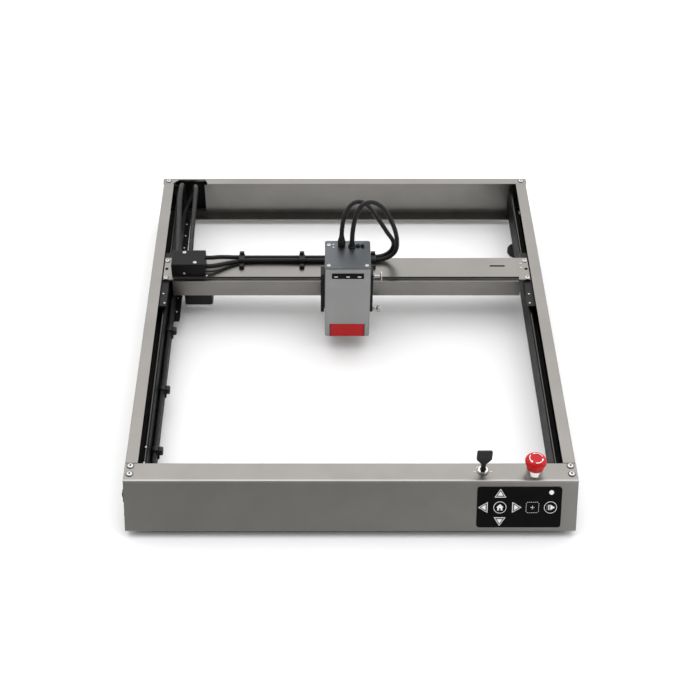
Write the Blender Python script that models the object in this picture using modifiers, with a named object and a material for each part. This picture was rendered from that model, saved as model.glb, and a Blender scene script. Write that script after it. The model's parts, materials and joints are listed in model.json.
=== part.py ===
"""Desktop laser cutter: an open rectangular frame with a sloped front console, a gantry
that travels front to back, and a laser module that travels left to right on the gantry.

Drawing coordinates, used all through this script, are in millimetres: x runs right from
the centre line, y runs back from the front top edge, and z runs up from the frame's top
plane. point() turns them into metres, with the origin on the floor under the centre of
the object's outer box."""
import math

import bpy
import bmesh
from mathutils import Matrix, Vector

MM = 0.001

# Frame
WIDTH = 577.0
TOP_DEPTH = 643.0       # front top edge to the back face
BODY_HEIGHT = 64.3      # top plane to the underside of the frame
LEAN = 29.9             # how far the console's foot stands in front of its top edge
FOOT_HEIGHT = 9.0
FOOT_RADIUS = 15.0
CONSOLE_TOP = 30.0      # depth of the console's flat top
REAR_FRONT = 628.0      # front edge of the rear beam's top flange
FLANGE = 16.2           # width of the side rails' top flange
RAIL_FOOT = 22.5        # width of their bottom flange
SHEET = 1.6
WALL = 1.8
GAP = 0.3               # clearance between neighbouring pieces

# Y guide: a U channel inside each side rail, with a rod for the gantry's rollers
CHANNEL_IN, CHANNEL_OUT = 262.5, 285.8
CHANNEL_TOP, CHANNEL_BOTTOM = -9.3, -50.0
ROD_X, ROD_Z, ROD_RADIUS = 266.3, -15.0, 2.0
LIP_X = 279.9
ROLLER_X = 274.0
ROLLER_Y = (380.0, 446.0)
DRIVE_X, DRIVE_Y, DRIVE_Z = 274.0, 10.0, -39.7
IDLER_Y = 600.0
PULLEY_RADIUS = 6.0
BELT_GAP, BELT_THICK, BELT_WIDTH = 0.3, 0.77, 6.0

# Gantry
PLATE_TOP = -2.0
BEAM_FRONT, BEAM_BACK, BEAM_BOTTOM = 394.5, 445.0, -32.5
BEAM_HALF = 257.0
PLATE_HALF = 270.5
SLOT_BACK = 398.4       # rear side of the slot that the laser bracket hangs in
X_DRIVE = (-220.7, 419.0)
X_IDLER = (235.0, 419.0)
X_BELT_Z = -22.0

# Laser module, on the centre line at rest
MODULE_HALF = 32.2
MODULE_FRONT, MODULE_BACK = 322.0, 383.5
MODULE_TOP, MODULE_BOTTOM = 80.0, -47.7
CHEEK_IN, CHEEK_THICK = 33.2, 5.0
SCREW_Y = 377.0
SCREW_Z = {"upper": 19.4, "lower": -43.2}

# Console fittings
KEY_X, KEY_Y = 168.4, 16.2
STOP_X, STOP_Y = 233.6, 14.3
PANEL_X, PANEL_WIDTH = 214.4, 107.4
PANEL_TOP, PANEL_BOTTOM = 8.7, 64.3     # measured down the slope
PANEL_PROUD, PANEL_THICK = 1.3, 1.1
PANEL_LEDGE = 1.0                       # how far the panel overlaps its window
PAD_RADIUS = 7.2
PADS = {"key_up": (190.0, 17.6), "key_left": (169.2, 36.4), "key_home": (189.9, 36.4),
        "key_right": (210.4, 36.4), "key_down": (190.0, 55.2), "key_frame": (231.2, 36.4),
        "key_start": (254.2, 36.4)}
ROCKER_Y, ROCKER_Z, ROCKER_PROUD = 4.0, -33.0, 3.6

SLOPE = math.atan2(LEAN, BODY_HEIGHT)
TOE_ROUND = 1.2         # rounding of the console's front bottom edge
TOE = -LEAN + TOE_ROUND * (1 / math.tan((math.pi / 2 - SLOPE) / 2) - 1)
BOX_CENTRE_X = -ROCKER_PROUD / 2
BOX_CENTRE_Y = (TOP_DEPTH + TOE) / 2
FLOOR = -BODY_HEIGHT - FOOT_HEIGHT


def point(x, y, z):
    return Vector((x - BOX_CENTRE_X, y - BOX_CENTRE_Y, z - FLOOR)) * MM


for old in list(bpy.data.objects):
    bpy.data.objects.remove(old, do_unlink=True)

PARTS = bpy.data.collections.new("desktop_laser_cutter")
CUTTERS = bpy.data.collections.new("cutters")
bpy.context.scene.collection.children.link(PARTS)
bpy.context.scene.collection.children.link(CUTTERS)


def material(name, color, roughness, metallic=0.0):
    made = bpy.data.materials.new(name)
    made.use_nodes = True
    shader = made.node_tree.nodes["Principled BSDF"]
    shader.inputs["Base Color"].default_value = (*color, 1.0)
    shader.inputs["Roughness"].default_value = roughness
    shader.inputs["Metallic"].default_value = metallic
    return made


GREY = material("anodised_grey", (0.27, 0.26, 0.25), 0.42, 0.8)
DARK = material("dark_metal", (0.03, 0.03, 0.03), 0.45, 0.3)
STEEL = material("steel", (0.6, 0.6, 0.6), 0.25, 1.0)
BLACK = material("black_plastic", (0.02, 0.02, 0.02), 0.5)
GLOSS = material("gloss_black", (0.01, 0.01, 0.01), 0.15)
RUBBER = material("black_rubber", (0.03, 0.03, 0.03), 0.8)
RED = material("red_plastic", (0.75, 0.03, 0.04), 0.3)
RED_GLASS = material("red_acrylic", (0.35, 0.02, 0.02), 0.1)
MODULE = material("module_grey", (0.22, 0.22, 0.2), 0.4, 0.7)
BOARD = material("circuit_board", (0.02, 0.12, 0.06), 0.5)
ALUMINIUM = material("plain_aluminium", (0.7, 0.7, 0.7), 0.35, 1.0)


# Building tools

def place(name, data, finish, collection=None):
    made = bpy.data.objects.new(name, data)
    (collection or PARTS).objects.link(made)
    data.materials.append(finish)
    return made


def from_bmesh(name, bm, finish, smooth_deg=35):
    mesh = bpy.data.meshes.new(name)
    bmesh.ops.recalc_face_normals(bm, faces=bm.faces)
    bm.to_mesh(mesh)
    bm.free()
    mesh.shade_smooth()
    mesh.set_sharp_from_angle(angle=math.radians(smooth_deg))
    return place(name, mesh, finish)


def box(name, low, high, finish, bevel=0.0):
    """A box between two drawing points, with its edges rounded by bevel millimetres."""
    a, b = point(*low), point(*high)
    bm = bmesh.new()
    size = Matrix.Diagonal((*(b - a), 1.0))
    bmesh.ops.create_cube(bm, size=1.0, matrix=size)
    made = from_bmesh(name, bm, finish)
    made.location = (a + b) / 2
    if bevel:
        soften(made, bevel)
    return made


def soften(made, bevel, segments=2):
    edge = made.modifiers.new("rounded_edges", "BEVEL")
    edge.width = bevel * MM
    edge.segments = segments
    edge.limit_method = "ANGLE"


def facing(axis):
    """The turn that takes a local +Z to a drawing axis."""
    return Vector(axis).to_track_quat("Z", "Y").to_matrix().to_4x4()


def cylinder(name, start, axis, length, radius, finish, sides=24, end_radius=None):
    bm = bmesh.new()
    bmesh.ops.create_cone(bm, cap_ends=True, segments=sides, radius1=radius * MM,
                          radius2=(radius if end_radius is None else end_radius) * MM,
                          depth=length * MM,
                          matrix=Matrix.Translation((0, 0, length * MM / 2)))
    made = from_bmesh(name, bm, finish)
    made.matrix_world = Matrix.Translation(point(*start)) @ facing(axis)
    return made


def turned(name, profile, base, axis, finish, steps=24):
    """A turned solid. profile lists (radius, height) from the top of its axis down its
    outer side to the bottom of its axis."""
    bm = bmesh.new()
    dots = [bm.verts.new((r * MM, 0, h * MM)) for r, h in profile]
    for a, b in zip(dots, dots[1:]):
        bm.edges.new((a, b))
    mesh = bpy.data.meshes.new(name)
    bm.to_mesh(mesh)
    bm.free()
    made = place(name, mesh, finish)
    made.matrix_world = Matrix.Translation(point(*base)) @ facing(axis)
    screw = made.modifiers.new("turn", "SCREW")
    screw.steps = screw.render_steps = steps
    screw.use_merge_vertices = True
    screw.merge_threshold = 1e-5
    screw.use_smooth_shade = False
    return made


PRISM_TURN = {
    "X": Matrix(((0, 0, 1, 0), (1, 0, 0, 0), (0, 1, 0, 0), (0, 0, 0, 1))),
    "Y": Matrix(((1, 0, 0, 0), (0, 0, -1, 0), (0, 1, 0, 0), (0, 0, 0, 1))),
    "Z": Matrix.Identity(4),
}


def prism(name, outline, axis, start, end, finish, holes=()):
    """An outline carried along a drawing axis. The outline's two numbers are drawing
    coordinates: (y, z) along X, (x, z) along Y and (x, y) along Z."""
    middle = (start + end) / 2
    centre = {"X": (middle, 0, 0), "Y": (0, middle, 0), "Z": (0, 0, middle)}[axis]
    turn = Matrix.Translation(point(*centre)) @ PRISM_TURN[axis]
    return extruded(name, outline, turn, abs(end - start), finish, holes)


def extruded(name, outline, turn, thickness, finish, holes=()):
    curve = bpy.data.curves.new(name + "_outline", "CURVE")
    curve.dimensions = "2D"
    curve.fill_mode = "BOTH"
    curve.extrude = thickness * MM / 2
    for loop in (outline, *holes):
        spline = curve.splines.new("POLY")
        spline.points.add(len(loop) - 1)
        for dot, (u, v) in zip(spline.points, loop):
            dot.co = (u * MM, v * MM, 0, 1)
        spline.use_cyclic_u = True
    guide = bpy.data.objects.new(name + "_outline", curve)
    CUTTERS.objects.link(guide)
    bpy.context.view_layer.update()
    seen = guide.evaluated_get(bpy.context.evaluated_depsgraph_get())
    mesh = bpy.data.meshes.new_from_object(seen)
    mesh.name = name
    bpy.data.objects.remove(guide, do_unlink=True)
    bm = bmesh.new()
    bm.from_mesh(mesh)
    bmesh.ops.remove_doubles(bm, verts=bm.verts, dist=1e-6)
    bmesh.ops.recalc_face_normals(bm, faces=bm.faces)
    bm.to_mesh(mesh)
    bm.free()
    mesh.shade_smooth()
    mesh.set_sharp_from_angle(angle=math.radians(35))
    mesh.materials.clear()
    made = place(name, mesh, finish)
    made.matrix_world = turn
    return made


def combine(target, tools, operation):
    """Cuts tools out of a piece or welds them to it; the tools stay as wire guides."""
    for tool in tools:
        PARTS.objects.unlink(tool)
        CUTTERS.objects.link(tool)
        tool.hide_render = True
        tool.display_type = "WIRE"
        step = target.modifiers.new(tool.name, "BOOLEAN")
        step.operation = operation
        step.object = tool
        step.solver = "EXACT"
    return target


def cut(target, *tools):
    return combine(target, tools, "DIFFERENCE")


def weld(target, *tools):
    return combine(target, tools, "UNION")


def filleted(corners, steps=4):
    """An outline from (u, v, radius) corners, with each radius drawn as an arc."""
    out = []
    count = len(corners)
    for i, (u, v, radius) in enumerate(corners):
        here = Vector((u, v))
        if not radius:
            out.append((u, v))
            continue
        before = (Vector(corners[i - 1][:2]) - here).normalized()
        after = (Vector(corners[(i + 1) % count][:2]) - here).normalized()
        half = before.angle(after) / 2
        centre = here + (before + after).normalized() * radius / math.sin(half)
        first = here + before * radius / math.tan(half) - centre
        last = here + after * radius / math.tan(half) - centre
        sweep = first.angle_signed(last)
        for k in range(steps + 1):
            turn = Matrix.Rotation(-sweep * k / steps, 2)
            out.append(tuple(centre + turn @ first))
    return out


def rounded_rectangle(u0, v0, u1, v1, radius, steps=4):
    corners = [(u0, v0, radius), (u1, v0, radius), (u1, v1, radius), (u0, v1, radius)]
    return filleted(corners, steps)


def racetrack(a, b, radius, steps=8):
    """The outline of a belt round two pulleys of one radius, at outline points a and b."""
    a, b = Vector(a), Vector(b)
    along = (b - a).normalized()
    side = Vector((-along.y, along.x))
    out = []
    for centre, lead in ((b, -side), (a, side)):
        for k in range(steps + 1):
            turn = Matrix.Rotation(math.pi * k / steps, 2)
            out.append(tuple(centre + turn @ lead * radius))
    return out


def smooth_route(knots, spacing):
    """Points about spacing apart on a Catmull-Rom curve through the knots."""
    knots = [Vector(k) for k in knots]
    padded = [2 * knots[0] - knots[1], *knots, 2 * knots[-1] - knots[-2]]
    out = []
    for p0, p1, p2, p3 in zip(padded, padded[1:], padded[2:], padded[3:]):
        pieces = max(1, round((p2 - p1).length / spacing))
        for k in range(pieces):
            t = k / pieces
            out.append(0.5 * (2 * p1 + (p2 - p0) * t
                              + (2 * p0 - 5 * p1 + 4 * p2 - p3) * t * t
                              + (3 * p1 - p0 - 3 * p2 + p3) * t * t * t))
    out.append(knots[-1])
    return out


def cable(name, knots, diameter, spacing):
    curve = bpy.data.curves.new(name, "CURVE")
    curve.dimensions = "3D"
    curve.bevel_depth = diameter * MM / 2
    curve.bevel_resolution = 2
    curve.use_fill_caps = True
    route = smooth_route(knots, spacing)
    spline = curve.splines.new("POLY")
    spline.points.add(len(route) - 1)
    for dot, place_mm in zip(spline.points, route):
        dot.co = (*point(*place_mm), 1)
    spline.use_smooth = True
    return place(name, curve, RUBBER)


def on_slope(x, down, out):
    """A place on the console's sloped front: down the slope, and out from its face."""
    turn = Matrix.Rotation(math.pi / 2 - SLOPE, 4, "X")
    base = Matrix.Translation(point(0, 0, 0)) @ turn
    return base @ Matrix.Translation(Vector((x, -down, out)) * MM)


def slope_plate(name, outline, out, thickness, finish, holes=()):
    """A flat plate parallel to the sloped front, its outer face out from that front."""
    turn = on_slope(0, 0, out - thickness / 2)
    return extruded(name, outline, turn, thickness, finish, holes)


def bounded(radius, steps=24, centre=(0, 0)):
    return [(centre[0] + radius * math.cos(2 * math.pi * k / steps),
             centre[1] + radius * math.sin(2 * math.pi * k / steps)) for k in range(steps)]


# Frame

def front_console():
    """A thin shell, open underneath, whose front leans back from foot to top edge."""
    tan, cos = math.tan(SLOPE), math.cos(SLOPE)
    outer = filleted([(CONSOLE_TOP, -BODY_HEIGHT, 0), (CONSOLE_TOP, 0, 1.0), (0, 0, 2.4),
                      (-LEAN, -BODY_HEIGHT, TOE_ROUND)])
    low = -BODY_HEIGHT - 5

    def inner_front(z):
        return z * tan + WALL / cos

    inner = [(CONSOLE_TOP - WALL, low), (CONSOLE_TOP - WALL, -WALL),
             (inner_front(-WALL), -WALL), (inner_front(low), low)]
    shell = prism("front_console", outer, "X", -WIDTH / 2, WIDTH / 2, GREY)
    cut(shell, prism("console_hollow", inner, "X", -WIDTH / 2 + WALL, WIDTH / 2 - WALL, GREY))
    cut(shell, cylinder("key_hole", (KEY_X, KEY_Y, -4), (0, 0, 1), 8, 6.3, GREY),
        cylinder("stop_hole", (STOP_X, STOP_Y, -4), (0, 0, 1), 8, 9.3, GREY))
    half = PANEL_WIDTH / 2 - PANEL_LEDGE
    window = rounded_rectangle(PANEL_X - half, -PANEL_BOTTOM + PANEL_LEDGE,
                               PANEL_X + half, -PANEL_TOP - PANEL_LEDGE, 2.5)
    cut(shell, slope_plate("panel_window", window, 4, 12, GREY))
    for side, sign in (("left", -1), ("right", 1)):
        x = sign * DRIVE_X
        cut(shell, box(side + "_belt_way", (x - 4.5, 26, -49), (x + 4.5, 32, -30.5), GREY))
    cut(shell, box("cable_way", (-262.6, 26, -50.5), (-253.4, 32, -32.8), GREY))
    cut(shell, box("rocker_way", (-292, ROCKER_Y - 5.3, ROCKER_Z - 7.8),
                   (-280, ROCKER_Y + 5.3, ROCKER_Z + 7.8), GREY))
    cut(shell, cylinder("inlet_way", (-292, -8, -53), (1, 0, 0), 12, 5.8, GREY))


def console_base():
    box("console_base", (-WIDTH / 2 + WALL + GAP, -LEAN + 3, -BODY_HEIGHT),
        (WIDTH / 2 - WALL - GAP, CONSOLE_TOP - WALL - GAP, -BODY_HEIGHT + 1.5), DARK)


def side_rail(side, sign):
    edge = WIDTH / 2
    corners = [(edge - FLANGE, 0, 0), (edge, 0, 1.4), (edge, -BODY_HEIGHT, 1.4),
               (edge - RAIL_FOOT, -BODY_HEIGHT, 0),
               (edge - RAIL_FOOT, -BODY_HEIGHT + SHEET, 0),
               (edge - SHEET, -BODY_HEIGHT + SHEET, 0), (edge - SHEET, -SHEET, 0),
               (edge - FLANGE, -SHEET, 0)]
    outline = [(sign * u, v) for u, v in filleted(corners)]
    prism("side_rail_" + side, outline, "Y", CONSOLE_TOP + GAP, REAR_FRONT - GAP, GREY)


def rear_beam():
    """A box tube with a flange forward of it at the top and a lip forward at the foot."""
    back, web, foot = TOP_DEPTH, REAR_FRONT + 4, REAR_FRONT - 11
    outer = filleted([(REAR_FRONT, 0, 0), (back, 0, 1.4), (back, -BODY_HEIGHT, 1.4),
                      (foot, -BODY_HEIGHT, 0), (foot, -BODY_HEIGHT + SHEET, 0),
                      (web, -BODY_HEIGHT + SHEET, 0), (web, -SHEET, 0),
                      (REAR_FRONT, -SHEET, 0)])
    hollow = [(web + 1.4, -BODY_HEIGHT + SHEET), (back - 1.4, -BODY_HEIGHT + SHEET),
              (back - 1.4, -SHEET), (web + 1.4, -SHEET)]
    beam = prism("rear_beam", outer, "X", -WIDTH / 2, WIDTH / 2, GREY, [hollow])
    notch = [(-273, REAR_FRONT - 2), (-219, REAR_FRONT - 2), (-219, REAR_FRONT + 2),
             (-223, 638.8), (-264.5, 638.8), (-273, REAR_FRONT + 2)]
    cut(beam, prism("cable_notch", notch, "Z", -6.0, 2.0, GREY),
        box("cable_window", (-266.0, REAR_FRONT - 2, -58.0), (-224.0, back - 3, -5.9), GREY))
    for side, sign in (("left", -1), ("right", 1)):
        inner, outer = sorted((sign * (WIDTH / 2 - RAIL_FOOT - GAP), sign * (WIDTH / 2 + 2)))
        cut(beam, box(side + "_lip_relief", (inner, foot - 2, -BODY_HEIGHT - 2),
                      (outer, REAR_FRONT, -BODY_HEIGHT + SHEET + 1), GREY))


def y_guide(side, sign):
    top, low = CHANNEL_TOP, CHANNEL_BOTTOM
    inside, outside = CHANNEL_IN + 1.5, CHANNEL_OUT - 1.5
    shelf = ROD_Z - ROD_RADIUS - GAP
    outline = [(CHANNEL_IN, low), (CHANNEL_IN, top), (inside, top), (inside, shelf),
               (inside + 3, shelf), (inside + 3, shelf - 1.3), (inside, shelf - 1.3),
               (inside, low + 2), (outside, low + 2), (outside, ROD_Z - 2.6),
               (LIP_X, ROD_Z - 0.6), (LIP_X, ROD_Z + 0.6), (outside, ROD_Z + 2.6),
               (outside, top), (CHANNEL_OUT, top), (CHANNEL_OUT, low)]
    channel = prism("y_channel_" + side, [(sign * u, v) for u, v in outline], "Y",
                    CONSOLE_TOP + 1, REAR_FRONT - 1, DARK)
    if side == "left":
        weld(channel, cable_tray())
    cylinder("guide_rod_" + side, (sign * ROD_X, CONSOLE_TOP + 3, ROD_Z), (0, 1, 0),
             REAR_FRONT - CONSOLE_TOP - 6, ROD_RADIUS, STEEL, sides=12)


def belt(name, a, b, axis, low, high):
    inner = PULLEY_RADIUS + BELT_GAP
    prism(name, racetrack(a, b, inner + BELT_THICK), axis, low, high, RUBBER,
          [racetrack(a, b, inner)])


def y_drive():
    """The cross shaft in the console turns both belts; each has an idler at the back."""
    for side, sign in (("left", -1), ("right", 1)):
        x = sign * DRIVE_X
        belt("y_belt_" + side, (DRIVE_Y, DRIVE_Z), (IDLER_Y, DRIVE_Z), "X",
             x - BELT_WIDTH / 2, x + BELT_WIDTH / 2)
        half, axle = 4.0, CHANNEL_OUT - 1.5 - DRIVE_X - GAP
        rim = PULLEY_RADIUS + 2
        idler = [(0, axle), (2, axle), (2, half + 1), (rim, half + 1), (rim, half),
                 (PULLEY_RADIUS, half), (PULLEY_RADIUS, -half), (rim, -half),
                 (rim, -half - 1), (2, -half - 1), (2, -9.6), (0, -9.6)]
        turned("y_idler_" + side, idler, (x, IDLER_Y, DRIVE_Z), (sign, 0, 0), ALUMINIUM, 20)
    half, rim, shaft = 4.0, PULLEY_RADIUS + 2, 3.0
    profile = [(0, 281), (shaft, 281)]
    for x in (DRIVE_X, -DRIVE_X):
        profile += [(shaft, x + half + 1), (rim, x + half + 1), (rim, x + half),
                    (PULLEY_RADIUS, x + half), (PULLEY_RADIUS, x - half), (rim, x - half),
                    (rim, x - half - 1), (shaft, x - half - 1)]
    profile += [(shaft, -281), (0, -281)]
    turned("y_drive_shaft", profile, (0, DRIVE_Y, DRIVE_Z), (1, 0, 0), STEEL, 20)
    motor = box("y_motor", (-62, DRIVE_Y - 17.3, DRIVE_Z - 17.3),
                (-26, DRIVE_Y + 17.3, DRIVE_Z + 17.3), DARK, bevel=2.5)
    cut(motor, cylinder("y_motor_bore", (-70, DRIVE_Y, DRIVE_Z), (1, 0, 0), 60, 3.4, DARK))


def feet():
    for name, x, y in (("foot_front_left", -262, 2), ("foot_front_right", 262, 2),
                       ("foot_rear_left", -272, 545), ("foot_rear_right", 272, 545)):
        top = FOOT_HEIGHT - GAP
        profile = [(0, top), (FOOT_RADIUS - 2, top), (FOOT_RADIUS, top - 2),
                   (FOOT_RADIUS, 1.5), (FOOT_RADIUS - 1.5, 0), (0, 0)]
        turned(name, profile, (x, y, FLOOR), (0, 0, 1), RUBBER, 20)


def cable_tray():
    """A shelf on the left channel, under the lower run of the gantry's two cables."""
    outline = rounded_rectangle(-264.5, 357, -246.6, 600, 3)
    return prism("cable_tray", outline, "Z", -51.4, CHANNEL_BOTTOM + 0.6, DARK)


# Console fittings

def control_panel():
    outline = rounded_rectangle(PANEL_X - PANEL_WIDTH / 2, -PANEL_BOTTOM,
                                PANEL_X + PANEL_WIDTH / 2, -PANEL_TOP, 3.5)
    holes = [bounded(PAD_RADIUS + GAP, centre=(x, -down)) for x, down in PADS.values()]
    slope_plate("control_panel", outline, PANEL_PROUD, PANEL_THICK, GLOSS, holes)
    for name, (x, down) in PADS.items():
        bm = bmesh.new()
        bmesh.ops.create_cone(bm, cap_ends=True, segments=24, radius1=PAD_RADIUS * MM,
                              radius2=PAD_RADIUS * MM, depth=1.6 * MM)
        pad = from_bmesh(name, bm, GLOSS)
        pad.matrix_world = on_slope(x, down, PANEL_PROUD - 0.8)


def mainboard():
    """The board sits behind the panel, parallel to the sloped front."""
    outline = rounded_rectangle(160, -59, 268, -26, 1.5)
    board = slope_plate("mainboard", outline, -6.4, 1.6, BOARD)
    chip = slope_plate("driver_chip", [(180, -50), (196, -50), (196, -36), (180, -36)],
                       -7.6, 3.0, BOARD)
    plug = slope_plate("board_plug", [(214, -56), (250, -56), (250, -50), (214, -50)],
                       -7.6, 5.0, BOARD)
    weld(board, chip, plug)


def key_switch():
    base = (KEY_X, KEY_Y, 0)
    barrel = [(0, 3.6), (6.2, 3.6), (7.2, 2.4), (7.2, GAP), (6.0, GAP), (6.0, -26), (0, -26)]
    body = turned("key_switch_body", barrel, base, (0, 0, 1), STEEL, 32)
    cut(body, cylinder("lock_bore", (KEY_X, KEY_Y, -22), (0, 0, 1), 30, 4.4, STEEL))
    core = cylinder("lock_core", (KEY_X, KEY_Y, -21.5), (0, 0, 1), 24.3, 4.1, STEEL)
    cut(core, box("key_way", (KEY_X - 3.0, KEY_Y - 0.9, -18), (KEY_X + 3.0, KEY_Y + 0.9, 8),
                  STEEL))
    corners = [(-2.6, -17, 0.5), (2.6, -17, 0.5), (2.6, 5.0, 0), (2.6, 13.5, 1.5),
               (9.8, 21.5, 2.5), (9.8, 38.8, 2.5), (-9.8, 38.8, 2.5), (-9.8, 21.5, 2.5),
               (-2.6, 13.5, 1.5), (-2.6, 5.0, 0)]
    outline = [(KEY_X + u, v) for u, v in filleted(corners)]
    blade = prism("key", outline, "Y", KEY_Y - 1.6, KEY_Y + 1.6, BLACK)
    for name, y in (("blade_face_front", KEY_Y - 1.9), ("blade_face_back", KEY_Y + 1.9)):
        cut(blade, box(name, (KEY_X - 5, y - 1.3, -20), (KEY_X + 5, y + 1.3, 4.6), BLACK))


def emergency_stop():
    base = (STOP_X, STOP_Y, 0)
    ring = [(0, 9.5), (8.6, 9.5), (9.4, 8.7), (9.9, 1.5), (10.6, GAP), (9.0, GAP),
            (9.0, -27), (0, -27)]
    body = turned("estop_base", ring, base, (0, 0, 1), STEEL, 32)
    cut(body, cylinder("stop_bore", (STOP_X, STOP_Y, -22), (0, 0, 1), 40, 4.6, STEEL))
    stem = [(0, 21), (2.4, 21), (2.4, 15), (4.2, 14.4), (4.2, -17), (0, -17)]
    turned("estop_stem", stem, base, (0, 0, 1), BLACK, 20)
    cap = [(0, 28.6), (5.0, 28.3), (9.5, 27.3), (12.4, 25.4), (13.6, 23.0), (13.6, 21.2),
           (12.6, 19.4), (10.8, 18.2), (10.6, 14.4), (0, 14.4)]
    head = turned("estop_cap", cap, base, (0, 0, 1), RED, 40)
    cut(head, cylinder("cap_socket", (STOP_X, STOP_Y, 10), (0, 0, 1), 11.3, 4.6, RED))


def power_rocker():
    x = -WIDTH / 2
    made = box("power_rocker", (x - ROCKER_PROUD, ROCKER_Y - 5.0, ROCKER_Z - 7.4),
               (x + 5.0, ROCKER_Y + 5.0, ROCKER_Z + 7.4), BLACK, bevel=0.9)
    trough = cylinder("rocker_trough", (x - ROCKER_PROUD - 27.2, ROCKER_Y - 8, ROCKER_Z),
                      (0, 1, 0), 16, 28.0, BLACK, sides=64)
    cut(made, trough)


def dc_inlet():
    x = -WIDTH / 2
    body = cylinder("dc_inlet", (x, -8, -53), (1, 0, 0), 13, 5.4, BLACK)
    cut(body, cylinder("inlet_bore", (x - 2, -8, -53), (1, 0, 0), 11, 3.2, BLACK))


# Gantry

def gantry_beam():
    """A C section, open along its top front edge, with a plate across each end."""
    low, top = BEAM_BOTTOM, PLATE_TOP
    outline = [(BEAM_FRONT, low), (BEAM_FRONT, -5.0), (396.0, -5.0), (396.0, low + 1.6),
               (443.4, low + 1.6), (443.4, top - 2.5), (403.0, top - 2.5), (403.0, top - 5),
               (SLOT_BACK, top - 5), (SLOT_BACK, top - 2.5), (401.5, top - 2.5),
               (401.5, top), (BEAM_BACK, top), (BEAM_BACK, low)]
    beam = prism("gantry_beam", outline, "X", -BEAM_HALF, BEAM_HALF, GREY)
    for side, sign in (("left", -1), ("right", 1)):
        inner, outer = sorted((sign * (BEAM_HALF - 2.9), sign * PLATE_HALF))
        weld(beam, box(side + "_end_plate", (inner, BEAM_FRONT + 0.2, top - 2.4),
                       (outer, BEAM_BACK - 0.2, top + 0.3), GREY))
        cut(beam, cylinder(side + "_plate_hole", (sign * 266.7, 419.1, -8), (0, 0, 1), 10,
                           2.6, GREY, sides=16))
    slot = rounded_rectangle(213, 424.6, 236, 427.8, 1.5)
    cut(beam, prism("plate_slot", slot, "Z", -6, 0, GREY),
        cylinder("x_motor_way", (*X_DRIVE, -34), (0, 0, 1), 5, 11.5, GREY, sides=32))


def y_carriage(side, sign):
    """The block under the gantry's end: roller pins, and an arm that grips the belt."""
    low, top = -8.8, PLATE_TOP - 2.5 - GAP
    inner, outer = sorted((sign * 261.6, sign * 276.2))
    block = box("y_carriage_" + side, (inner, 339.5, low), (outer, 460, top), DARK)
    for k, y in enumerate(ROLLER_Y):
        weld(block, cylinder("%s_pin_%d" % (side, k), (sign * ROLLER_X, y, -21), (0, 0, 1),
                             14, 2.0, DARK, sides=12))
    x = sign * ROLLER_X
    belt_top = DRIVE_Z + PULLEY_RADIUS + BELT_GAP + BELT_THICK
    weld(block, box(side + "_belt_arm", (x - 3, 405, belt_top + GAP), (x + 3, 421, -7), DARK))


def y_rollers():
    for side, sign in (("left", -1), ("right", 1)):
        for place_name, y in zip(("front", "rear"), ROLLER_Y):
            profile = [(2.3, 4.2), (6.6, 4.2), (7.1, 3.4), (5.45, 0.7), (5.45, -0.7),
                       (7.1, -3.4), (6.6, -4.2), (2.3, -4.2), (2.3, 4.2)]
            turned("y_roller_%s_%s" % (side, place_name), profile,
                   (sign * ROLLER_X, y, ROD_Z), (0, 0, 1), STEEL, 20)


def x_drive():
    x, y = X_DRIVE
    motor = box("x_motor", (x - 21, y - 21, -59.3), (x + 21, y + 21, BEAM_BOTTOM - 0.5),
                DARK, bevel=3.0)
    weld(motor, cylinder("motor_boss", (x, y, -34), (0, 0, 1), 3.4, 11.0, DARK, sides=32))
    half, rim, shaft = 3.6, PULLEY_RADIUS + 1.6, 2.5
    z = X_BELT_Z

    def pulley(name, place_xy, low):
        profile = [(0, 7.6), (shaft, 7.6), (shaft, half + 1), (rim, half + 1), (rim, half),
                   (PULLEY_RADIUS, half), (PULLEY_RADIUS, -half), (rim, -half),
                   (rim, -half - 1), (shaft, -half - 1), (shaft, low - z), (0, low - z)]
        turned(name, profile, (*place_xy, z), (0, 0, 1), ALUMINIUM, 20)

    pulley("x_drive_pulley", X_DRIVE, -30.2)
    pulley("x_idler_pulley", X_IDLER, BEAM_BOTTOM + 1.6 + GAP)
    belt("x_belt", X_DRIVE, X_IDLER, "Z", z - BELT_WIDTH / 2, z + BELT_WIDTH / 2)


def junction_box():
    low = PLATE_TOP + GAP
    box("junction_box", (-258, 402, low), (-208.4, 437, 20), BLACK, bevel=1.6)


# Laser bracket and module

def laser_bracket():
    """A plate and two cheeks in front of the beam, hooked into the slot on top of it."""
    half, back = CHEEK_IN + CHEEK_THICK, 392.5
    outline = [(-half, 374), (-CHEEK_IN, 374), (-CHEEK_IN, 385.5), (CHEEK_IN, 385.5),
               (CHEEK_IN, 374), (half, 374), (half, back), (-half, back)]
    dock = prism("laser_bracket", outline, "Z", -49.5, 25, DARK)
    trim = filleted([(372, -51, 0), (378, -51, 0), (375.5, -47.5, 0), (372, -45.5, 0)])
    cut(dock, prism("cheek_corners", trim, "X", -45, 45, DARK))
    for name, z in SCREW_Z.items():
        cut(dock, cylinder(name + "_screw_hole", (CHEEK_IN - 2, SCREW_Y, z), (1, 0, 0), 10,
                           2.4, DARK, sides=16))
    arm = box("hook_arm", (-30, back - 1, -4.3), (30, 398.0, 1.5), DARK)
    blade = box("hook_blade", (-30, 396.4, -27), (30, 398.0, 0.5), DARK)
    clamp = box("belt_clamp", (-14, 397.5, -27), (14, 411.4, -10), DARK)
    weld(dock, arm, blade, clamp)


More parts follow.
